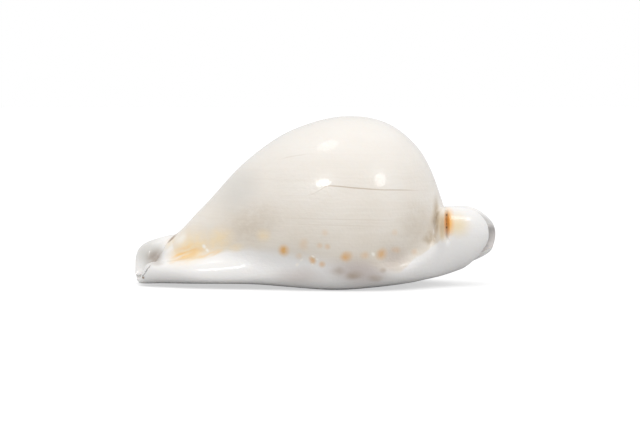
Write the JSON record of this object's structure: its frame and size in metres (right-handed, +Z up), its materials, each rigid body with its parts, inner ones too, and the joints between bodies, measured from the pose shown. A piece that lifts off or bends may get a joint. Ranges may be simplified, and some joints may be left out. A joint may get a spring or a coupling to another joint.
{
  "type": "cowrie shell",
  "caption": "Humped cowrie shell with drawn-out ends, a toothed slit along its base and a hollow inside, lying on its base.",
  "frame": {"origin": "middle of the shell's length and width, at the flat spot it rests on", "axes": "+X along the slit towards the end with the sunken spire, +Y towards the outer lip, +Z up from the base through the hump"},
  "size_m": [0.0904, 0.0542, 0.042],
  "materials": {
    "shell": "glossy natural porcelain-like shell"
  },
  "bodies": {
    "root": {"cowrie_shell": "shell"}
  },
  "joints": []
}
